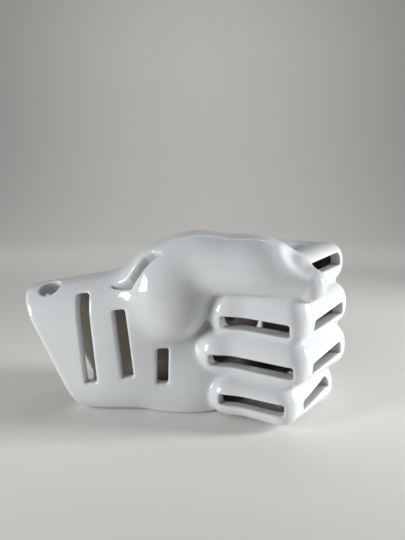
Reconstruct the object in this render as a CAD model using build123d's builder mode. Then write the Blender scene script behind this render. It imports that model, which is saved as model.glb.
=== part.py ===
# A hollow ceramic fist, luted together from seven castings and pierced with slots.
# It lies on its little-finger side: +X runs from the wrist to the knuckles, +Y from the palm to the back
# of the hand, +Z up, and the origin is on the flat base under the palm. Millimetres.
import os
from math import atan2, cos, degrees, hypot, radians, sin
from typing import NamedTuple

from build123d import *


class Section(NamedTuple):
    """One cut across the palm: where it meets the base, its front, back, bottom and top, and its slant."""
    x: float
    front: float
    back: float
    bottom: float
    top: float
    slant: float = 0.0


class Slot(NamedTuple):
    """A straight slot along a bone: where it starts and ends, its offset at each end, and its height."""
    start: float
    end: float
    start_offset: float
    end_offset: float
    height: float


class Finger(NamedTuple):
    """A bent finger: its middle joint, bone lengths, the knuckle's rise, half sizes and its slots."""
    name: str
    joint: tuple
    middle_bone: float
    knuckle_bone: float
    rise: float
    half_width: float
    half_height: float
    side_slot: Slot
    front_slot: Slot = None


# Walls and roundings shared by every casting
WALL = 6.5
LOW_ROUND = 13.5
TOP_ROUND = 20.0
FINGER_ROUND = 7.5
LARGEST_ROUND_SHARE = 0.45

# Palm and wrist, from the open cuff to the knuckles
SOLE = 1.0
CUFF_SLANT = 25.0
SECTIONS = [
    Section(x=-59.7, front=-22.5, back=22.5, bottom=-SOLE, top=70.0, slant=CUFF_SLANT),
    Section(x=-50.0, front=-24.5, back=24.5, bottom=-SOLE, top=74.4, slant=CUFF_SLANT / 2),
    Section(x=-36.0, front=-26.0, back=27.5, bottom=-SOLE, top=81.4),
    Section(x=-10.0, front=-22.0, back=31.0, bottom=-SOLE, top=90.0),
    Section(x=15.0, front=-10.0, back=33.0, bottom=-SOLE, top=95.0),
    Section(x=45.0, front=-6.5, back=30.0, bottom=-SOLE, top=95.5),
    Section(x=62.0, front=-4.5, back=24.0, bottom=1.0, top=94.0),
    Section(x=68.0, front=-1.0, back=18.0, bottom=6.0, top=89.0),
]
PARTING_Y = 2.0

# Muscle pad at the root of the thumb, standing out of the palm
PAD_X = -9.0
PAD_Z = 66.0
PAD_RADIUS = 25.5
PAD_FRONT = -33.0
PAD_ROUND = 17.0

# Muscle pad along the little-finger edge of the palm, from inside the wrist to its rounded end
EDGE_START = Vector(-40, -9, 9.5)
EDGE_END = Vector(32, -14, 9.5)
EDGE_RADIUS = 11.5
EDGE_ROUND = 9.0

# Thumb: centres of its bones and the radius at each
THUMB_PATH = [Vector(-12, -8, 75.2), Vector(6, -15, 84.4), Vector(39.5, -30, 82.2), Vector(64.5, -36.5, 73.2)]
THUMB_RADII = [22.0, 17.3, 13.3, 7.6]
THUMB_DOME_ANGLES = [35, 62, 80]
THUMB_DOOR_RADIUS = 9.0

# Fingers: all four fold by the same angles
KNUCKLE_TURN = 47.0
MIDDLE_TURN = 150.5
TIP_RISE_SHARE = 0.3
ROOT_X = 60.0
ROOT_Y = 12.0
FINGERS = [
    Finger("index_finger", joint=(54.0, -26.0, 79.3), middle_bone=30.0, knuckle_bone=37.0, rise=3.3,
           half_width=10.0, half_height=11.2, side_slot=Slot(3.0, 36.0, 2.0, 2.8, 6.8)),
    Finger("middle_finger", joint=(53.0, -32.0, 57.0), middle_bone=35.0, knuckle_bone=40.5, rise=2.0,
           half_width=10.5, half_height=12.4, side_slot=Slot(7.0, 38.5, -4.5, -1.3, 6.8),
           front_slot=Slot(-2.0, 33.5, -4.2, -3.4, 6.8)),
    Finger("ring_finger", joint=(53.5, -33.0, 34.9), middle_bone=43.0, knuckle_bone=39.5, rise=0.0,
           half_width=10.5, half_height=12.2, side_slot=Slot(5.0, 36.0, -3.9, 0.5, 6.4),
           front_slot=Slot(-3.6, 40.5, -3.4, -2.6, 6.4)),
    Finger("little_finger", joint=(48.5, -34.0, 13.2), middle_bone=30.5, knuckle_bone=37.0, rise=0.3,
           half_width=10.0, half_height=10.0, side_slot=Slot(7.5, 34.5, -2.2, 2.6, 5.6),
           front_slot=Slot(-4.4, 29.8, -0.3, -0.9, 5.6)),
]
HOLLOW_CORNER = (20.0, 10.0)

# Slots of the wrist, each from its top to its foot
WRIST_SLOT_WIDTH = 5.6
WRIST_SLOTS = [((-55.8, 67.4), (-52.0, 19.4)), ((-35.9, 59.8), (-32.2, 22.6)), ((-13.4, 37.8), (-13.7, 18.8))]

# Curved slot between the wrist and the thumb's mound, as points along its middle
MOUND_SLOT_WIDTH = 5.5
MOUND_SLOT_BEND = 12.0
MOUND_SLOT_PATH = [Vector(-40.6, -20.5, 73.2), Vector(-32, -25, 77.6), Vector(-22.4, -24.5, 87.6),
                   Vector(-15.4, -25.8, 90.2)]
MOUND_SLOT_FACING = Vector(-0.55, -0.24, 0.8)

# Round hole beside the cuff, and the opening in the back of the hand
HOLE_RADIUS = 6.0
HOLE_CENTRE = Vector(-76.5, -12, 69)
HOLE_FACING = Vector(-0.2, -0.55, 0.8)
BACK_OPENING_WIDTH = 12.0
BACK_OPENING_HEIGHT = 24.0
BACK_OPENING_X = 41.0
BACK_OPENING_Z = 46.0


def palm_form(inset):
    """The palm's outside, or its hollow when set in by the wall: a loft with its two muscle pads."""
    with BuildPart() as form:
        for section in SECTIONS:
            slant = radians(section.slant)
            front, back = section.front + inset, section.back - inset
            bottom, top = (section.bottom + inset) / cos(slant), (section.top - inset) / cos(slant)
            largest_round = LARGEST_ROUND_SHARE * (back - front)
            low_round, top_round = min(LOW_ROUND - inset, largest_round), min(TOP_ROUND - inset, largest_round)
            plane = Plane(origin=(section.x, 0, 0), x_dir=(0, 1, 0), z_dir=(cos(slant), 0, sin(slant)))
            with BuildSketch(plane.offset(-inset * sin(slant))):
                with BuildLine():
                    FilletPolyline(
                        (front, bottom), (back, bottom), (back, top), (front, top),
                        radius=[low_round, low_round, top_round, top_round], close=True,
                    )
                make_face()
        loft()
        with BuildSketch(Plane.XZ):
            with Locations((PAD_X, PAD_Z)):
                Circle(PAD_RADIUS - inset)
        extrude(amount=-PAD_FRONT - inset)
        fillet(form.faces().sort_by(Axis.Y)[0].edges(), radius=PAD_ROUND - inset)
    along = EDGE_END - EDGE_START
    with BuildPart() as edge:
        with BuildSketch(Plane(origin=EDGE_START, z_dir=along)):
            Circle(EDGE_RADIUS - inset)
        extrude(amount=along.length - inset)
        fillet(edge.edges().group_by(Axis.X)[-1], radius=EDGE_ROUND - inset)
    with BuildPart() as both:
        add(form.part)
        add(edge.part)
    return both.part


def thumb_form(inset):
    """The thumb's outside, or its hollow: circles square to its path, with a domed root and tip."""
    steps = [(after - before).normalized() for before, after in zip(THUMB_PATH, THUMB_PATH[1:])]
    turns = [steps[0]] + [(a + b).normalized() for a, b in zip(steps, steps[1:])] + [steps[-1]]
    rings = [(point, radius - inset, turn) for point, radius, turn in zip(THUMB_PATH, THUMB_RADII, turns)]
    root, root_radius, root_turn = rings[0]
    tip, tip_radius, tip_turn = rings[-1]
    dome = [radians(angle) for angle in THUMB_DOME_ANGLES]
    before = [(root - root_turn * root_radius * sin(a), root_radius * cos(a), root_turn) for a in dome]
    after = [(tip + tip_turn * tip_radius * sin(a), tip_radius * cos(a), tip_turn) for a in dome]
    with BuildPart() as form:
        for point, radius, turn in before[::-1] + rings + after:
            with BuildSketch(Plane(origin=point, x_dir=turn.cross(Vector(0, 0, 1)), z_dir=turn)):
                Circle(radius)
        loft()
    return form.part


def finger_axes(finger):
    """The finger's plane at its middle joint, with x along the middle bone, and its knuckle in that plane."""
    joint = Vector(*finger.joint)
    out = Vector(cos(radians(KNUCKLE_TURN)), sin(radians(KNUCKLE_TURN)), 0)
    back = Vector(cos(radians(MIDDLE_TURN)), sin(radians(MIDDLE_TURN)), 0)
    knuckle = joint + out * finger.knuckle_bone + Vector(0, 0, finger.rise)
    tip = joint + back * finger.middle_bone + Vector(0, 0, finger.rise * TIP_RISE_SHARE)
    plane = Plane(origin=joint, x_dir=tip - joint, z_dir=(knuckle - joint).cross(tip - joint))
    return plane, plane.to_local_coords(knuckle)


def finger_outline(finger):
    """The folded finger's corners in its plane: tip, middle joint, knuckle, and its root in the palm."""
    plane, knuckle = finger_axes(finger)
    root = plane.to_local_coords(Vector(ROOT_X, ROOT_Y, finger.joint[2]))
    return [(finger.middle_bone, 0), (0, 0), (knuckle.X, knuckle.Y), (root.X, root.Y)]


def finger_form(finger, inset):
    """The folded finger's outside, or its hollow: a plate round its bones with rounded edges."""
    plane = finger_axes(finger)[0]
    with BuildPart() as form:
        with BuildSketch(plane):
            Polygon(*finger_outline(finger), align=None)
            offset(amount=finger.half_width - inset)
        extrude(amount=finger.half_height - inset, both=True)
        flats = form.faces().sort_by(Axis(plane.origin, plane.z_dir))
        fillet(flats[0].edges() + flats[-1].edges(), radius=FINGER_ROUND - inset)
    return form.part


def bone_slot(slot, plane, reach):
    """A bar along plane's x, from its start to its end, reaching out of the bone on plane's z side."""
    run, lift = slot.end - slot.start, slot.end_offset - slot.start_offset
    middle = ((slot.start + slot.end) / 2, (slot.start_offset + slot.end_offset) / 2)
    with BuildPart() as bar:
        with BuildSketch(plane):
            with Locations(middle):
                Rectangle(hypot(run, lift), slot.height, rotation=degrees(atan2(lift, run)))
        extrude(amount=reach)
    return bar.part


def finger_slots(finger):
    """The slot in the side of the knuckle bone, and any slot in the front of the middle bone."""
    plane, knuckle = finger_axes(finger)
    along = (plane.from_local_coords(knuckle) - plane.origin).normalized()
    side = Plane(origin=plane.origin, x_dir=along, z_dir=along.cross(plane.z_dir))
    reach = 2 * finger.half_width
    slots = [bone_slot(finger.side_slot, side, reach)]
    if finger.front_slot:
        front = Plane(origin=plane.origin, x_dir=plane.x_dir, z_dir=plane.z_dir.cross(plane.x_dir))
        mirrored = finger.front_slot._replace(
            start_offset=-finger.front_slot.start_offset, end_offset=-finger.front_slot.end_offset)
        slots.append(bone_slot(mirrored, front, reach))
    return slots


os.makedirs("parts", exist_ok=True)

palm_outside, palm_hollow = palm_form(0), palm_form(WALL)
reach = palm_outside.bounding_box().diagonal
thumb_outside, thumb_hollow = thumb_form(0), thumb_form(WALL)
outsides = [finger_form(finger, 0) for finger in FINGERS]
hollows = [finger_form(finger, WALL) for finger in FINGERS]

# Hollow behind the creases between the fingers, open to the palm, leaving a seam as wide as the wall.
# Its flat outline is the middle finger's, drawn on to a corner inside the palm.
index, middle, ring, little = FINGERS
middle_plane = finger_axes(middle)[0]
with BuildPart() as fist_hollow:
    with BuildSketch(Plane.XY.offset(little.joint[2])):
        corners = [tuple(middle_plane.from_local_coords(corner))[:2] for corner in finger_outline(middle)]
        Polygon(*corners, HOLLOW_CORNER, align=None)
        offset(amount=middle.half_width - FINGER_ROUND - WALL)
    extrude(amount=index.joint[2] - little.joint[2])

# Doorway through the palm's wall into the thumb
first_bone = THUMB_PATH[1] - THUMB_PATH[0]
with BuildPart() as thumb_door:
    with BuildSketch(Plane(origin=THUMB_PATH[0], z_dir=first_bone)):
        Circle(THUMB_DOOR_RADIUS)
    extrude(amount=first_bone.length)

# Upright slots through the front wall of the wrist
with BuildPart() as wrist_slots:
    for top, foot in WRIST_SLOTS:
        with BuildSketch(Plane.XZ):
            with BuildLine():
                Line(top, foot)
            trace(line_width=WRIST_SLOT_WIDTH)
        extrude(amount=reach)

# Curved slot through the wall of the mound
mound_plane = Plane(origin=MOUND_SLOT_PATH[0], x_dir=MOUND_SLOT_PATH[-1] - MOUND_SLOT_PATH[0],
                    z_dir=MOUND_SLOT_FACING)
with BuildPart() as mound_slot:
    with BuildSketch(mound_plane):
        with BuildLine():
            FilletPolyline(*[tuple(mound_plane.to_local_coords(point))[:2] for point in MOUND_SLOT_PATH],
                           radius=MOUND_SLOT_BEND)
        trace(line_width=MOUND_SLOT_WIDTH)
    extrude(amount=3 * WALL, both=True)

# Round hole through the wall beside the cuff
with BuildPart() as round_hole:
    with BuildSketch(Plane(origin=HOLE_CENTRE, z_dir=HOLE_FACING)):
        Circle(HOLE_RADIUS)
    extrude(amount=3 * WALL, both=True)

# Opening through the back of the hand
with BuildPart() as back_opening:
    with BuildSketch(Plane.XZ.offset(-PARTING_Y)):
        with Locations((BACK_OPENING_X, BACK_OPENING_Z)):
            Rectangle(BACK_OPENING_WIDTH, BACK_OPENING_HEIGHT)
    extrude(amount=-reach)

# Hollow palm, cut flat at the base
with BuildPart() as palm:
    add(palm_outside)
    add(palm_hollow, mode=Mode.SUBTRACT)
    with BuildSketch(Plane.XY):
        Rectangle(2 * reach, 2 * reach)
    extrude(amount=-reach, mode=Mode.SUBTRACT)

# Front half of the palm, open to the thumb and the fingers
parting = Plane.XZ.offset(-PARTING_Y)
with BuildPart() as palm_shell:
    add(palm.part)
    with BuildSketch(parting):
        Rectangle(2 * reach, 2 * reach)
    extrude(amount=-reach, mode=Mode.SUBTRACT)
    for opening in [thumb_door.part, fist_hollow.part] + hollows:
        add(opening, mode=Mode.SUBTRACT)
    for cut in [wrist_slots.part, round_hole.part, mound_slot.part]:
        add(cut, mode=Mode.SUBTRACT)
palm_shell.part.label = "palm_shell"
export_step(palm_shell.part, "parts/palm_shell.step")

# Rear half of the palm, the back of the hand
with BuildPart() as back_shell:
    add(palm.part)
    with BuildSketch(parting):
        Rectangle(2 * reach, 2 * reach)
    extrude(amount=reach, mode=Mode.SUBTRACT)
    for opening in [thumb_door.part, fist_hollow.part, back_opening.part]:
        add(opening, mode=Mode.SUBTRACT)
back_shell.part.label = "back_shell"
export_step(back_shell.part, "parts/back_shell.step")

# Each finger butts on the palm and on the finger above it
for number, finger in enumerate(FINGERS):
    with BuildPart() as casting:
        add(outsides[number])
        for cut in [hollows[number], fist_hollow.part, palm_outside] + outsides[:number][-1:]:
            add(cut, mode=Mode.SUBTRACT)
        for slot in finger_slots(finger):
            add(slot, mode=Mode.SUBTRACT)
    casting.part.label = finger.name
    export_step(casting.part, f"parts/{finger.name}.step")

# The thumb lies on the palm and against the two upper fingers
with BuildPart() as thumb:
    add(thumb_outside)
    for cut in [thumb_hollow, palm_outside, mound_slot.part] + outsides[:2]:
        add(cut, mode=Mode.SUBTRACT)
thumb.part.label = "thumb"
export_step(thumb.part, "parts/thumb.step")
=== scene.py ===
import bpy
import numpy as np
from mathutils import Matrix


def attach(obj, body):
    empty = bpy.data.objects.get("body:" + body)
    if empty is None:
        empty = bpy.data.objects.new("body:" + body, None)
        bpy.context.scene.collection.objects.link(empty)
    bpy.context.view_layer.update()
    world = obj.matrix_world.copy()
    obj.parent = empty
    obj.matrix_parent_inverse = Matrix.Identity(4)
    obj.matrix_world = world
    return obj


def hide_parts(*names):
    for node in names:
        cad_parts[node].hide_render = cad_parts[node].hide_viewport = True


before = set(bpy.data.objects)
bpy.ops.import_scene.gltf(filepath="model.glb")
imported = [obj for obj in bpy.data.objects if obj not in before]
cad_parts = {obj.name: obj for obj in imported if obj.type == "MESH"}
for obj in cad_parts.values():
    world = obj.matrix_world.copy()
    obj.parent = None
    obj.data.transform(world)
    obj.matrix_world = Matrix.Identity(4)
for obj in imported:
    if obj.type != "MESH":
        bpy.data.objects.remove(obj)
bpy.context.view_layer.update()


# Palm and wrist. A hollow slip casting of the hand from the cuff to the knuckles, parted along its edge into
# a front half and a back half that are luted together. Its form is a rounded rectangle that changes along the
# hand, with a muscle mound at the thumb's root and another along the little-finger edge.
PALM_STATIONS = np.array([
    # along the hand, front, back, underside, top, rounding below, rounding above
    (-105.0, -20.5, 22.0, -1.0, 67.0, 19.0, 21.0),
    (-70.0, -23.5, 23.0, -1.5, 73.4, 20.5, 23.0),
    (-40.0, -26.0, 27.0, -2.0, 78.6, 22.0, 26.0),
    (-10.0, -22.5, 31.0, -2.0, 88.5, 20.0, 26.0),
    (15.0, -13.0, 32.6, -2.0, 95.0, 18.0, 21.0),
    (45.0, -7.0, 30.0, -2.0, 95.5, 16.0, 17.0),
    (72.0, -3.0, 22.0, 3.0, 94.0, 12.0, 12.0),
])
PALM_CORNER = 2.3
PALM_END = 70.0
PALM_END_ROUND = 22.0
THUMB_MOUND = ((-9.0, -12.0, 66.0), (23.0, 22.0, 27.0))
THUMB_MOUND_CREASE = np.array([0.75, 0.0, -0.66])
THUMB_MOUND_SPREAD = 40.0
CREASE_SIDE_BLEND = 2.5
WRIST_SIDE_BLEND = 18.0
EDGE_MOUND = ((0.0, -11.5, 16.0), (30.0, 13.5, 24.0))
EDGE_BLEND = 9.0
TINY = 1e-9


def joined(a, b, blend):
    """Distance to two forms luted together: the smaller, less up to a sixth of the blend where they meet."""
    h = np.maximum(1 - np.abs(a - b) / blend, 0)
    return np.minimum(a, b) - h * h * h * blend / 6


def trimmed(a, b, blend):
    """Distance to what two forms share: the larger one, plus up to a sixth of the blend where they meet."""
    return -joined(-a, -b, blend)


def along(stations, x):
    """Station values at x and their slopes, on cubic curves through the stations, sloped by the neighbours."""
    places, values = stations[:, 0], stations[:, 1:]
    slopes = np.gradient(values, places, axis=0)
    x = np.clip(x, places[0], places[-1])
    left = np.clip(np.searchsorted(places, x) - 1, 0, len(places) - 2)
    span = (places[left + 1] - places[left])[..., None]
    t = (x - places[left])[..., None] / span
    rise = t * t * (3 - 2 * t)
    value = (values[left] * (1 - rise) + values[left + 1] * rise
             + span * (t * (1 - t) ** 2 * slopes[left] - t * t * (1 - t) * slopes[left + 1]))
    slope = (6 * t * (1 - t) * (values[left + 1] - values[left]) / span
             + (1 - t) * (1 - 3 * t) * slopes[left] + t * (3 * t - 2) * slopes[left + 1])
    return value, slope


def mound(p, centre, radii):
    """Distance to an ellipsoid, to first order: k (k - 1) over the slope of k, where k is the scaled radius."""
    q = (p - np.array(centre)) / np.array(radii)
    k = np.sqrt((q * q).sum(-1)) + TINY
    return k * (k - 1) / (np.sqrt(((q / np.array(radii)) ** 2).sum(-1)) + TINY)


def palm_form(p):
    """Distance to the palm: a rounded rectangle across the hand at each x, rounded off at the knuckle end."""
    front, back, low, high, low_round, high_round = np.moveaxis(along(PALM_STATIONS, p[..., 0])[0], -1, 0)
    middle, half = (low + high) / 2, (high - low) / 2
    s = np.clip((p[..., 2] - middle) / half * 0.5 + 0.5, 0, 1)
    corner = low_round + (high_round - low_round) * s * s * (3 - 2 * s)
    across = np.abs(p[..., 1] - (front + back) / 2) - (back - front) / 2 + corner
    up = np.abs(p[..., 2] - middle) - half + corner
    turn = (np.maximum(across, 0) ** PALM_CORNER + np.maximum(up, 0) ** PALM_CORNER) ** (1 / PALM_CORNER)
    section = turn + np.minimum(np.maximum(across, up), 0) - corner
    body = trimmed(section, p[..., 0] - PALM_END, PALM_END_ROUND)
    soft = np.clip(0.5 - (p - THUMB_MOUND[0]) @ THUMB_MOUND_CREASE / THUMB_MOUND_SPREAD, 0, 1)
    blend = CREASE_SIDE_BLEND + (WRIST_SIDE_BLEND - CREASE_SIDE_BLEND) * soft
    body = joined(body, mound(p, *THUMB_MOUND), blend)
    return joined(body, mound(p, *EDGE_MOUND), EDGE_BLEND)


# Thumb. A hollow casting that tapers from the wrist side to its tip and lies across the index finger.
# Its form is a ball carried along a bent line, dented beyond its knuckle, and it is luted to the palm with a
# wide fillet.
THUMB_STATIONS = np.array([
    # along the hand, then the middle of the thumb across and up, and its radius
    (-9.0, -8.0, 74.5, 21.0),
    (4.0, -13.8, 83.1, 18.0),
    (22.0, -21.5, 83.8, 16.2),
    (41.0, -28.6, 82.8, 15.1),
    (52.0, -31.4, 78.8, 12.0),
    (60.6, -34.3, 75.0, 8.8),
])
THUMB_DENT = ((61.0, -45.0, 97.0), 16.5)
THUMB_DENT_BLEND = 3.0
THUMB_BLEND = 14.0


def thumb_form(p):
    """Distance to the thumb: to the nearest point of its line, found in two steps, less the radius there."""
    first, last = THUMB_STATIONS[0, 0], THUMB_STATIONS[-1, 0]
    x = np.clip(p[..., 0], first, last)
    for _ in range(2):
        value, slope = along(THUMB_STATIONS, x)
        gap = p - np.concatenate([x[..., None], value[..., :2]], axis=-1)
        run = gap[..., 0] + (gap[..., 1:] * slope[..., :2]).sum(-1)
        x = np.clip(x + run / (1 + (slope[..., :2] ** 2).sum(-1)), first, last)
    value = along(THUMB_STATIONS, x)[0]
    gap = p - np.concatenate([x[..., None], value[..., :2]], axis=-1)
    thumb = np.linalg.norm(gap, axis=-1) - value[..., 2]
    centre, radius = THUMB_DENT
    return trimmed(thumb, radius - np.sqrt(((p - centre) ** 2).sum(-1)), THUMB_DENT_BLEND)


# Fingers. Four hollow castings, each folded at its middle joint, luted side by side so that a crease stays
# between them. Behind the creases the clay is open from finger to finger and into the palm.
KNUCKLE_BONE_WAY = np.array([0.68, 0.735, 0.0])
MIDDLE_BONE_WAY = np.array([-0.87, 0.49, 0.0])
TIP_RISE_SHARE = 0.3
FINGER_SQUARENESS = 2.4
FINGERS = {
    # middle joint, knuckle bone, middle bone, rise of the knuckle, half width, half height
    "index_finger": ((54.0, -26.0, 79.3), 37.0, 30.0, 3.3, 10.0, 11.2),
    "middle_finger": ((53.0, -32.0, 57.0), 40.5, 35.0, 2.0, 10.5, 12.4),
    "ring_finger": ((53.5, -33.0, 34.9), 39.5, 43.0, 0.0, 10.5, 12.2),
    "little_finger": ((48.5, -33.6, 12.0), 37.0, 30.5, 0.3, 10.0, 10.2),
}
FINGERTIPS = {
    # centre and radii of the rounded end that turns into the palm
    "middle_finger": ((22.5, -17.0, 57.4), (11.6, 11.6, 12.2)),
    "ring_finger": ((16.0, -15.5, 34.9), (11.6, 11.6, 11.8)),
    "little_finger": ((22.5, -20.5, 12.0), (10.2, 10.2, 10.2)),
}
FINGERTIP_BLEND = 8.0
CREASE_BLEND = 4.0
FINGER_BLEND = 3.5
FINGER_ROOT = (60.0, 12.0)
CREASE_FLOOR = 4.5
CREASE_FLOOR_BLEND = 5.0


def finger_bones(name):
    """Where a finger's middle joint, knuckle and tip joint lie, and its three axes."""
    joint, knuckle_bone, middle_bone, rise, _, _ = FINGERS[name]
    joint = np.array(joint)
    knuckle = joint + knuckle_bone * KNUCKLE_BONE_WAY + np.array([0, 0, rise])
    tip = joint + middle_bone * MIDDLE_BONE_WAY + np.array([0, 0, rise * TIP_RISE_SHARE])
    up = np.cross(knuckle - joint, tip - joint)
    up /= np.linalg.norm(up)
    ahead = (tip - joint) / np.linalg.norm(tip - joint)
    return joint, knuckle, tip, np.array([ahead, np.cross(up, ahead), up])


def bone_distance(q, start, end):
    """Distance, seen along the third axis, to the straight bone from start to end."""
    way, gap = (end - start)[:2], q[..., :2] - start[:2]
    place = np.clip(gap @ way / (way @ way), 0, 1)
    return np.linalg.norm(gap - place[..., None] * way, axis=-1)


def finger_form(p, name):
    """Distance to a finger: a superellipse, |a|^n + |b|^n = 1, carried along its bones, and its rounded end."""
    joint, knuckle, tip, axes = finger_bones(name)
    width, height, n = FINGERS[name][4], FINGERS[name][5], FINGER_SQUARENESS
    q = (p - joint) @ axes.T
    root = np.array([*FINGER_ROOT, knuckle[2]])
    corners = [axes @ (corner - joint) for corner in (tip, joint, knuckle, root)]
    bones = np.min([bone_distance(q, a, b) for a, b in zip(corners, corners[1:])], axis=0)
    a, b = bones / width, np.abs(q[..., 2]) / height
    g = (a ** n + b ** n + TINY) ** (1 / n)
    slope = np.hypot(a ** (n - 1) / width, b ** (n - 1) / height) * g ** (1 - n)
    finger = (g - 1) / np.sqrt(slope * slope + TINY)
    if name in FINGERTIPS:
        finger = joined(finger, mound(p, *FINGERTIPS[name]), FINGERTIP_BLEND)
    return finger


def crease_floor_form(p):
    """Distance to the filling behind the creases: the outline of the bones, closed at the palm."""
    levels, corners = [], []
    for name in reversed(FINGERS):
        joint, knuckle, tip, _ = finger_bones(name)
        levels.append(joint[2])
        corners.append([tip[:2], joint[:2], knuckle[:2], FINGER_ROOT])
    corners = np.array(corners)
    z = p[..., 2]
    outline = [[np.interp(z, levels, corners[:, k, axis]) for axis in (0, 1)] for k in range(4)]
    nearest, inside = np.full(z.shape, np.inf), np.ones(z.shape)
    for k in range(4):
        (ax, ay), (bx, by) = outline[k], outline[k - 1]
        qx, qy, ex, ey = p[..., 0] - ax, p[..., 1] - ay, bx - ax, by - ay
        place = np.clip((qx * ex + qy * ey) / (ex * ex + ey * ey), 0, 1)
        nearest = np.minimum(nearest, np.hypot(qx - place * ex, qy - place * ey))
        crossed = ((p[..., 1] >= ay) != (p[..., 1] >= by)) & ((qx * ey - qy * ex) * np.sign(ey) < 0)
        inside = np.where(crossed, -inside, inside)
    flat = inside * nearest - CREASE_FLOOR
    return trimmed(flat, np.maximum(levels[0] - z, z - levels[-1]), CREASE_FLOOR_BLEND)


# Luting. The leather-hard castings are joined with slip and the seams are wiped smooth, so the outside is one
# skin of even thickness. The underside is sponged flat, and the wrist is cut off on a slant.
WALL = 6.5
BASE_EDGE = 3.0
CUFF_CENTRE = np.array([-75.8, 0.0, 34.5])
CUFF_SLANT = np.radians(25.0)
CUFF_LIP = 4.0
PARTING = 2.0
PIECES = ["palm_shell", "back_shell", "thumb", *FINGERS]


def castings(p):
    """Distances to the palm, the thumb and the four fingers, one row each."""
    return np.array([palm_form(p), thumb_form(p), *(finger_form(p, name) for name in FINGERS)])


def luted(p, forms):
    """Distance to the outside of the whole hand, before the wrist is cut off."""
    hand = forms[2]
    for finger in forms[3:]:
        hand = joined(hand, finger, CREASE_BLEND)
    hand = joined(hand, crease_floor_form(p), CREASE_FLOOR_BLEND)
    hand = joined(joined(forms[0], forms[1], THUMB_BLEND), hand, FINGER_BLEND)
    return trimmed(hand, -p[..., 2], BASE_EDGE)


# Cuts. Slots are cut through the wall with a knife while the clay is leather-hard: three upright ones in the
# wrist, a curved one on the mound, one in the index finger and two in each other finger, a round hole by the
# cuff and an opening in the back. The glaze rounds all their edges.
CUT_LIP = 2.6
CUT_CORNER = 1.2
WRIST_SLOT_WIDTH = 6.2
WRIST_SLOTS = [
    # top and foot of each slot, along the hand and up
    ((-55.8, 67.4), (-52.0, 19.4)),
    ((-35.9, 59.8), (-32.2, 22.6)),
    ((-13.4, 37.8), (-13.7, 18.8)),
]
MOUND_SLOT = np.array([(-40.6, -20.5, 73.2), (-32.0, -25.0, 77.6), (-27.0, -25.2, 83.0), (-22.4, -24.5, 87.6),
                       (-19.0, -24.5, 89.4), (-15.4, -25.8, 90.2)])
MOUND_SLOT_HALF_WIDTHS = [0.6, 2.6, 3.0, 3.0, 2.4, 1.0]
MOUND_SLOT_FACING = np.array([-0.55, -0.24, 0.8])
MOUND_SLOT_DEPTH = 14.0
HOLE_CENTRE = np.array([-76.5, -12.0, 69.0])
HOLE_FACING = np.array([-0.2, -0.68, 0.7])
HOLE_RADIUS = 5.6
HOLE_DEPTH = 13.5
BACK_OPENING = ((41.0, 46.0), (12.0, 24.0))
FINGER_SLOTS = {
    # start and end along the bone, height above the bone at each end, slot height; side slot, then front slot
    "index_finger": [(3.0, 36.0, 2.0, 2.8, 6.8)],
    "middle_finger": [(7.0, 38.5, -4.5, -1.3, 6.8), (-2.0, 33.5, -4.2, -3.4, 6.8)],
    "ring_finger": [(5.0, 36.0, -3.9, 0.5, 6.4), (-3.6, 40.5, -3.4, -2.6, 6.4)],
    "little_finger": [(7.5, 34.5, -1.2, 3.6, 5.6), (-4.4, 29.8, 0.7, 0.1, 5.6)],
}


def slot_outline(u, w, start, end, width):
    """Distance in a plane to a straight slot between two points: a rectangle with small rounded corners."""
    start, end = np.array(start), np.array(end)
    length = np.linalg.norm(end - start)
    way = (end - start) / length
    across = np.abs((w - start[1]) * way[0] - (u - start[0]) * way[1]) - width / 2 + CUT_CORNER
    run = np.abs((u - start[0]) * way[0] + (w - start[1]) * way[1] - length / 2) - length / 2 + CUT_CORNER
    turn = np.hypot(np.maximum(across, 0), np.maximum(run, 0))
    return turn + np.minimum(np.maximum(across, run), 0) - CUT_CORNER


def cuts_form(p):
    """Distance to all the cuts: each one is its outline, carried straight through the wall."""
    x, y, z = p[..., 0], p[..., 1], p[..., 2]
    cuts = [np.maximum(slot_outline(x, z, top, foot, WRIST_SLOT_WIDTH), y) for top, foot in WRIST_SLOTS]
    (back_x, back_z), (back_width, back_height) = BACK_OPENING
    foot, top = (back_x, back_z - back_height / 2), (back_x, back_z + back_height / 2)
    cuts.append(np.maximum(slot_outline(x, z, foot, top, back_width), -y))
    facing = HOLE_FACING / np.linalg.norm(HOLE_FACING)
    depth = (p - HOLE_CENTRE) @ facing
    ring = np.sqrt(np.maximum(((p - HOLE_CENTRE) ** 2).sum(-1) - depth * depth, 0))
    cuts.append(np.maximum(ring - HOLE_RADIUS, np.abs(depth) - HOLE_DEPTH))
    facing = MOUND_SLOT_FACING / np.linalg.norm(MOUND_SLOT_FACING)
    curve = np.full(x.shape, np.inf)
    wide = MOUND_SLOT_HALF_WIDTHS
    for a, b, wide_a, wide_b in zip(MOUND_SLOT, MOUND_SLOT[1:], wide, wide[1:]):
        bone, q = (b - a) - (b - a) @ facing * facing, (p - a) - ((p - a) @ facing)[..., None] * facing
        place = np.clip(q @ bone / (bone @ bone), 0, 1)
        gap = np.sqrt(((q - place[..., None] * bone) ** 2).sum(-1))
        curve = np.minimum(curve, gap - wide_a - (wide_b - wide_a) * place)
    cuts.append(np.maximum(curve, np.abs((p - MOUND_SLOT[2]) @ facing) - MOUND_SLOT_DEPTH))
    for name, slots in FINGER_SLOTS.items():
        joint, knuckle, tip, axes = finger_bones(name)
        for (start, end, low, high, height), bone, other in zip(slots, (knuckle, tip), (tip, knuckle)):
            way = (bone - joint) / np.linalg.norm(bone - joint)
            inward = np.cross(axes[2], way)
            inward *= np.sign(inward @ (other - joint))
            q = p - joint
            outline = slot_outline(q @ way, q @ axes[2], (start, low), (end, high), height)
            cuts.append(np.maximum(outline, q @ inward))
    return np.min(cuts, axis=0)


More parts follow.
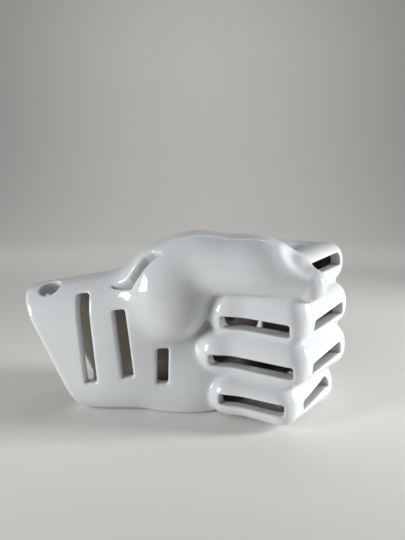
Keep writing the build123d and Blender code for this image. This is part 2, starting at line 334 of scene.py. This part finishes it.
def pierced(p):
    """Distance to the clay: the skin less its hollow, trimmed at the cuff and pierced by the cuts."""
    forms = castings(p)
    hand = luted(p, forms)
    clay = trimmed(hand, -WALL - hand, CUT_LIP)
    cuff = (CUFF_CENTRE - p) @ np.array([np.cos(CUFF_SLANT), 0, np.sin(CUFF_SLANT)])
    clay = trimmed(clay, cuff, CUFF_LIP)
    clay = trimmed(clay, -cuts_form(p), CUT_LIP)
    return clay, forms


# Firing. The clay's surface is found on a fine grid and moved onto the exact form, and each casting keeps the
# clay that lies nearest to it, so that the pieces meet without a gap under one glaze.
GRID_STEP = 0.8
GRID_LOW = np.array([-92.5, -46.0, -1.6])
GRID_HIGH = np.array([92.5, 35.0, 104.0])
CHUNK = 200000
FRONT_CASTING_END = 62.0
PROBE = 0.05
LONGEST_MOVE = 0.6 * GRID_STEP
LEAST_SLOPE = 0.1


def in_chunks(points, work):
    """The results of work on a long list of points, a chunk at a time."""
    return np.concatenate([work(points[k:k + CHUNK]) for k in range(0, len(points), CHUNK)])


def clay_and_owner(p):
    """Signed distance to the clay, and the number of the casting nearest to each point."""
    clay, forms = pierced(p)
    nearest = forms.argmin(axis=0)
    front = (p[..., 1] < PARTING) & (p[..., 0] < FRONT_CASTING_END)
    owner = np.where(nearest == 0, np.where(front, 1, 2), nearest + 2)
    return np.stack([clay, owner], axis=-1)


def clay_slope(p):
    """Slope of the distance to the clay, from four probes at the corners of a small tetrahedron."""
    corners = np.array([(1, 1, 1), (1, -1, -1), (-1, 1, -1), (-1, -1, 1)])
    return sum(corner * pierced(p + PROBE * corner)[0][:, None] for corner in corners) / (4 * PROBE)


def grid_cells():
    """Distance to the clay and number of its casting, 0 outside, at each corner of the grid."""
    axes = [np.arange(low, high, GRID_STEP) for low, high in zip(GRID_LOW, GRID_HIGH)]
    shape = tuple(len(axis) for axis in axes)
    points = np.stack(np.meshgrid(*axes, indexing="ij"), axis=-1).reshape(-1, 3)
    clay, owner = in_chunks(points, clay_and_owner).T
    clay = clay.reshape(shape)
    labels = np.where(clay < 0, owner.reshape(shape), 0).astype(np.int8)
    return clay, labels


clay, labels = grid_cells()
corner_steps = [(i, j, k) for i in (0, 1) for j in (0, 1) for k in (0, 1)]
cell_shape = tuple(n - 1 for n in labels.shape)
window = [tuple(slice(s, s + n) for s, n in zip(step, cell_shape)) for step in corner_steps]
lowest = np.min([labels[w] for w in window], axis=0)
mixed = lowest != np.max([labels[w] for w in window], axis=0)
cell_number = np.full(cell_shape, -1)
cell_number[mixed] = np.arange(mixed.sum())
cells = np.argwhere(mixed)
corner_clay = np.stack([clay[w][mixed] for w in window])
corner_labels = np.stack([labels[w][mixed] for w in window])
total, count = np.zeros((len(cells), 3)), np.zeros(len(cells))
for a, step_a in enumerate(corner_steps):
    for b, step_b in enumerate(corner_steps):
        if a < b and sum(np.abs(np.subtract(step_a, step_b))) == 1:
            skin = (corner_labels[a] == 0) != (corner_labels[b] == 0)
            share = np.where(skin, corner_clay[a] / np.where(skin, corner_clay[a] - corner_clay[b], 1), 0)
            crossing = np.array(step_a) + share[:, None] * np.subtract(step_b, step_a)
            total += np.where(skin[:, None], crossing, 0)
            count += skin
on_skin = count > 0
spot = np.where(on_skin[:, None], total / np.maximum(count, 1)[:, None], 0.5)
vertices = GRID_LOW + (cells + spot) * GRID_STEP
normals = np.zeros_like(vertices)
skin_points = vertices[on_skin]
for _ in range(2):
    slope = in_chunks(skin_points, clay_slope)
    height = in_chunks(skin_points, lambda p: pierced(p)[0])
    move = -height[:, None] * slope / np.maximum((slope * slope).sum(-1), LEAST_SLOPE)[:, None]
    reach = np.linalg.norm(move, axis=-1, keepdims=True)
    skin_points = skin_points + move * np.minimum(1, LONGEST_MOVE / np.maximum(reach, TINY))
corner_low = GRID_LOW + cells[on_skin] * GRID_STEP
skin_points = np.clip(skin_points, corner_low, corner_low + GRID_STEP)
vertices[on_skin] = skin_points
slope = in_chunks(skin_points, clay_slope)
normals[on_skin] = slope / np.maximum(np.linalg.norm(slope, axis=-1, keepdims=True), TINY)

triangles, owners = [], []
for axis in range(3):
    second, third = (axis + 1) % 3, (axis + 2) % 3
    lower, upper = [slice(1, -1)] * 3, [slice(1, -1)] * 3
    lower[axis], upper[axis] = slice(0, -1), slice(1, None)
    edges = np.argwhere(labels[tuple(lower)] != labels[tuple(upper)])
    below, above = labels[tuple(lower)][tuple(edges.T)], labels[tuple(upper)][tuple(edges.T)]
    ring = []
    for s, t in ((-1, -1), (0, -1), (0, 0), (-1, 0)):
        place = edges.copy()
        place[:, second] += s + 1
        place[:, third] += t + 1
        ring.append(cell_number[tuple(place.T)])
    ring = np.stack(ring, axis=-1)
    seam = (below > 0) & (above > 0)
    flat, folded = ring[~seam], ring[seam]
    diagonals = [np.linalg.norm(vertices[flat[:, k]] - vertices[flat[:, k + 2]], axis=-1) for k in (0, 1)]
    flat = np.where((diagonals[0] < diagonals[1])[:, None], flat, np.roll(flat, 1, axis=1))
    sunk = len(vertices) + np.arange(len(folded))
    vertices = np.concatenate([vertices, (vertices[folded] - GRID_STEP * normals[folded]).mean(axis=1)])
    normals = np.concatenate([normals, np.zeros((len(folded), 3))])
    fan = [np.stack([folded[:, k - 1], folded[:, k], sunk], axis=-1) for k in range(4)]
    faces = np.concatenate([flat[:, [0, 1, 2]], flat[:, [0, 2, 3]], *fan])
    for side, facing in ((below, faces), (above, faces[:, ::-1])):
        owner = np.concatenate([side[~seam]] * 2 + [side[seam]] * 4)
        triangles.append(facing[owner > 0])
        owners.append(owner[owner > 0])
triangles, owners = np.concatenate(triangles), np.concatenate(owners)


# Glaze. One coat of glossy white over all the castings, slightly cool, with faint specks of iron in the clay.
# It runs thin and pale over the edges, with a painted highlight there too; it pools darker and warmer in the
# creases, with painted crease shade there too; and the inside is painted dark brown as painted shade.
GLAZE_WHITE = (0.75, 0.775, 0.79, 1.0)
GLAZE_MOTTLED = (0.69, 0.715, 0.735, 1.0)
# Pooled glaze and painted crease shade: darker and warmer where the clay bends inward.
GLAZE_POOLED_AND_CREASE_SHADE = (0.53, 0.515, 0.48, 1.0)
# Thinner glaze and painted highlight: paler where the clay bends outward over edges.
GLAZE_THIN_AND_EDGE_HIGHLIGHT = (0.80, 0.81, 0.80, 1.0)
# Painted shade: the inside of the hollow lies in shade, so it is painted dark brown.
PAINTED_INSIDE_SHADE = (0.22, 0.195, 0.165, 1.0)
GLAZE_SPECK = (0.26, 0.22, 0.18, 1.0)
GLAZE_ROUGHNESS = (0.06, 0.13)
SPECKS_PER_METRE = 300.0
SPECK_SIZE = 0.12
SPECK_STRENGTH = 0.6
SPECKED_FROM = 0.4
MOTTLE_NOISE = (28.0, 3.0)
MOTTLE_RAMP = (0.35, 0.7, 0.0, 0.6)
THIN_AND_EDGE_HIGHLIGHT_RAMP = (0.05, 0.5, 0.0, 0.8)
POOLED_AND_CREASE_SHADE_RAMP = (-0.05, -0.4, 0.0, 0.8)
INSIDE_RAMP = (0.85, 1.0, 0.0, 1.0)
SHINE_NOISE = (60.0, 2.0)
SHINE_RANGE = (0.3, 0.7)
WOBBLE_NOISE = (70.0, 1.0)
WOBBLE_STRENGTH, WOBBLE_DISTANCE = 0.35, 0.0004
MIX_UNDER, MIX_OVER, MIX_OUT = 6, 7, 2
BEND_REACH = 1.6


def depth_and_bend(p):
    """How far through the wall a point is, and the clay's bend there: above 0 on edges, below 0 in creases.

    The bend is the mean distance to the clay at six points around, less the distance at the point.
    """
    # The depth through the wall masks the painted shade inside; the bend masks the painted edge highlight and
    # the painted crease shade.
    inside = np.clip(-luted(p, castings(p)) / WALL, 0, 1)
    around = [pierced(p + way * BEND_REACH * np.eye(3)[axis])[0] for axis in range(3) for way in (-1, 1)]
    return np.stack([inside, np.mean(around, axis=0) - pierced(p)[0]], axis=-1)


def glaze_material():
    """White glaze on object coordinates: mottled, pooled with painted crease shade and thinned with painted
    edge highlight by the bend, painted dark brown shade inside, with specks.
    """
    material = bpy.data.materials.new("white_glaze")
    material.use_nodes = True
    nodes, link = material.node_tree.nodes, material.node_tree.links.new
    place = nodes.new("ShaderNodeTexCoord").outputs["Object"]

    def attribute(name):
        node = nodes.new("ShaderNodeAttribute")
        node.attribute_name = name
        return node.outputs["Fac"]

    def noise(scale, detail):
        node = nodes.new("ShaderNodeTexNoise")
        node.inputs["Scale"].default_value = scale
        node.inputs["Detail"].default_value = detail
        link(place, node.inputs["Vector"])
        return node.outputs["Fac"]

    def ramp(value, start, end, low, high):
        node = nodes.new("ShaderNodeMapRange")
        for name, number in (("From Min", start), ("From Max", end), ("To Min", low), ("To Max", high)):
            node.inputs[name].default_value = number
        link(value, node.inputs["Value"])
        return node.outputs["Result"]

    def specks():
        """Dots at scattered points: cells with a high random number have one, and it sets its size."""
        cells = nodes.new("ShaderNodeTexVoronoi")
        cells.inputs["Scale"].default_value = SPECKS_PER_METRE
        link(place, cells.inputs["Vector"])
        draw = nodes.new("ShaderNodeSeparateColor")
        link(cells.outputs["Color"], draw.inputs["Color"])
        gap = nodes.new("ShaderNodeMath")
        gap.operation = "SUBTRACT"
        link(ramp(draw.outputs["Red"], SPECKED_FROM, 1.0, 0.0, SPECK_SIZE), gap.inputs[0])
        link(cells.outputs["Distance"], gap.inputs[1])
        return ramp(gap.outputs["Value"], 0.0, SPECK_SIZE / 2, 0.0, SPECK_STRENGTH)

    inside, bend = attribute("inside"), attribute("bend")
    under = None
    for colour, amount in (
        (GLAZE_MOTTLED, ramp(noise(*MOTTLE_NOISE), *MOTTLE_RAMP)),
        # Paler over the edges: thinner glaze and painted edge highlight.
        (GLAZE_THIN_AND_EDGE_HIGHLIGHT, ramp(bend, *THIN_AND_EDGE_HIGHLIGHT_RAMP)),
        # Darker in the creases: pooled glaze and painted crease shade.
        (GLAZE_POOLED_AND_CREASE_SHADE, ramp(bend, *POOLED_AND_CREASE_SHADE_RAMP)),
        (GLAZE_SPECK, specks()),
        # Dark brown inside: painted shade.
        (PAINTED_INSIDE_SHADE, ramp(inside, *INSIDE_RAMP)),
    ):
        coat = nodes.new("ShaderNodeMix")
        coat.data_type = "RGBA"
        coat.inputs[MIX_UNDER].default_value = GLAZE_WHITE
        coat.inputs[MIX_OVER].default_value = colour
        link(amount, coat.inputs["Factor"])
        if under:
            link(under, coat.inputs[MIX_UNDER])
        under = coat.outputs[MIX_OUT]
    shader = nodes["Principled BSDF"]
    link(under, shader.inputs["Base Color"])
    link(ramp(noise(*SHINE_NOISE), *SHINE_RANGE, *GLAZE_ROUGHNESS), shader.inputs["Roughness"])
    wobble = nodes.new("ShaderNodeBump")
    wobble.inputs["Strength"].default_value = WOBBLE_STRENGTH
    wobble.inputs["Distance"].default_value = WOBBLE_DISTANCE
    link(noise(*WOBBLE_NOISE), wobble.inputs["Height"])
    link(wobble.outputs["Normal"], shader.inputs["Normal"])
    return material


glaze = glaze_material()
depths = np.zeros((len(vertices), 2))
depths[np.flatnonzero(on_skin)] = in_chunks(skin_points, depth_and_bend)
for number, name in enumerate(PIECES, start=1):
    faces = triangles[owners == number]
    used, corners = np.unique(faces, return_inverse=True)
    mesh = bpy.data.meshes.new(name + "_glazed")
    mesh.vertices.add(len(used))
    mesh.vertices.foreach_set("co", (vertices[used] / 1000).ravel())
    mesh.loops.add(faces.size)
    mesh.loops.foreach_set("vertex_index", corners.ravel().astype(np.int32))
    mesh.polygons.add(len(faces))
    mesh.polygons.foreach_set("loop_start", np.arange(0, faces.size, 3, dtype=np.int32))
    mesh.update(calc_edges=True)
    mesh.shade_smooth()
    mesh.normals_split_custom_set_from_vertices(normals[used])
    for column, depth in enumerate(("inside", "bend")):
        values = mesh.attributes.new(depth, "FLOAT", "POINT").data
        values.foreach_set("value", depths[used, column].astype(np.float32))
    mesh.materials.append(glaze)
    piece = bpy.data.objects.new(name + "_glazed", mesh)
    bpy.context.scene.collection.objects.link(piece)
    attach(piece, "root")
    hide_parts(name)


# Floor. A plain pale paper sheet that lies under the object and curves up behind it, so that no edge shows in
# the camera's view.
FLOOR_COLOUR = (0.84, 0.82, 0.79, 1.0)
FLOOR_HALF_WIDTH = 3.0
FLOOR_FRONT, FLOOR_BACK, FLOOR_RISE = -2.0, 1.2, 1.0
FLOOR_TOP = 3.0
FLOOR_STEPS = 24
FLOOR_ROUGHNESS = 0.8


def floor_sheet():
    """A sheet that lies flat, then turns up through a quarter circle, 2 points across."""
    angle = np.linspace(0, np.pi / 2, FLOOR_STEPS)
    run = np.concatenate([[FLOOR_FRONT], FLOOR_BACK + FLOOR_RISE * np.sin(angle), [FLOOR_BACK + FLOOR_RISE]])
    rise = np.concatenate([[0.0], FLOOR_RISE * (1 - np.cos(angle)), [FLOOR_TOP]])
    points = [(x, y, z) for y, z in zip(run, rise) for x in (-FLOOR_HALF_WIDTH, FLOOR_HALF_WIDTH)]
    faces = [(k, k + 1, k + 3, k + 2) for k in range(0, len(points) - 2, 2)]
    mesh = bpy.data.meshes.new("floor")
    mesh.from_pydata(points, [], faces)
    mesh.shade_smooth()
    return bpy.data.objects.new("floor", mesh)


floor = floor_sheet()
bpy.context.scene.collection.objects.link(floor)
floor_paint = bpy.data.materials.new("floor_paint")
floor_paint.use_nodes = True
floor_shader = floor_paint.node_tree.nodes["Principled BSDF"]
floor_shader.inputs["Base Color"].default_value = FLOOR_COLOUR
floor_shader.inputs["Roughness"].default_value = FLOOR_ROUGHNESS
floor.data.materials.append(floor_paint)

# Light and camera. Two low lamps at the sides, one on the sheet behind, and a pale world that lights little but
# is seen whole by the camera and in the glaze. The camera stands where the photograph was taken.
LAMPS = {
    # place, aim, width, height, power, spread in degrees
    "left_lamp": ((-0.50, -0.28, 0.17), (-0.01, 0.0, 0.05), 0.14, 0.26, 0.72, 100),
    "right_lamp": ((0.72, -0.04, 0.19), (0.02, 0.0, 0.05), 0.14, 0.26, 2.0, 100),
    "backdrop_lamp": ((0.0, 0.5, 1.3), (0.0, 2.0, 0.5), 1.2, 0.4, 12.0, 180),
}
WORLD_COLOUR = (0.9, 0.92, 0.95, 1.0)
WORLD_LIGHT, WORLD_SEEN = 0.11, 0.6
CAMERA_PLACE = (0.008, -0.225, 0.1087)
CAMERA_PITCH = np.radians(7.88)
CAMERA_LENS, CAMERA_SENSOR, CAMERA_NEAR = 26.0, 36.0, 0.01
for name, (place, aim, width, height, power, spread) in LAMPS.items():
    light = bpy.data.lights.new(name, "AREA")
    light.shape = "RECTANGLE"
    light.size, light.size_y = width, height
    light.energy = power
    light.spread = np.radians(spread)
    lamp = bpy.data.objects.new(name, light)
    lamp.location = place
    way = np.subtract(aim, place)
    lamp.rotation_euler = (np.arctan2(np.hypot(way[0], way[1]), -way[2]), 0, np.arctan2(-way[0], way[1]))
    bpy.context.scene.collection.objects.link(lamp)

camera = bpy.data.objects.new("camera", bpy.data.cameras.new("camera"))
camera.data.sensor_width = CAMERA_SENSOR
camera.data.lens = CAMERA_LENS
camera.data.clip_start = CAMERA_NEAR
camera.location = CAMERA_PLACE
camera.rotation_euler = (np.pi / 2 - CAMERA_PITCH, 0, 0)
bpy.context.scene.collection.objects.link(camera)
bpy.context.scene.camera = camera

world = bpy.data.worlds.new("studio")
world.use_nodes = True
nodes, link = world.node_tree.nodes, world.node_tree.links.new
light_path, mix = nodes.new("ShaderNodeLightPath"), nodes.new("ShaderNodeMixShader")
seen = nodes.new("ShaderNodeBackground")
nodes["Background"].inputs["Color"].default_value = WORLD_COLOUR
nodes["Background"].inputs["Strength"].default_value = WORLD_LIGHT
seen.inputs["Color"].default_value = WORLD_COLOUR
seen.inputs["Strength"].default_value = WORLD_SEEN
shown = light_path.outputs["Is Camera Ray"]
for ray in ("Is Glossy Ray", "Is Transmission Ray"):
    either = nodes.new("ShaderNodeMath")
    either.operation = "MAXIMUM"
    link(shown, either.inputs[0])
    link(light_path.outputs[ray], either.inputs[1])
    shown = either.outputs["Value"]
link(shown, mix.inputs["Fac"])
link(nodes["Background"].outputs["Background"], mix.inputs[1])
link(seen.outputs["Background"], mix.inputs[2])
link(mix.outputs["Shader"], nodes["World Output"].inputs["Surface"])
bpy.context.scene.world = world
bpy.context.scene.view_settings.view_transform = "Standard"
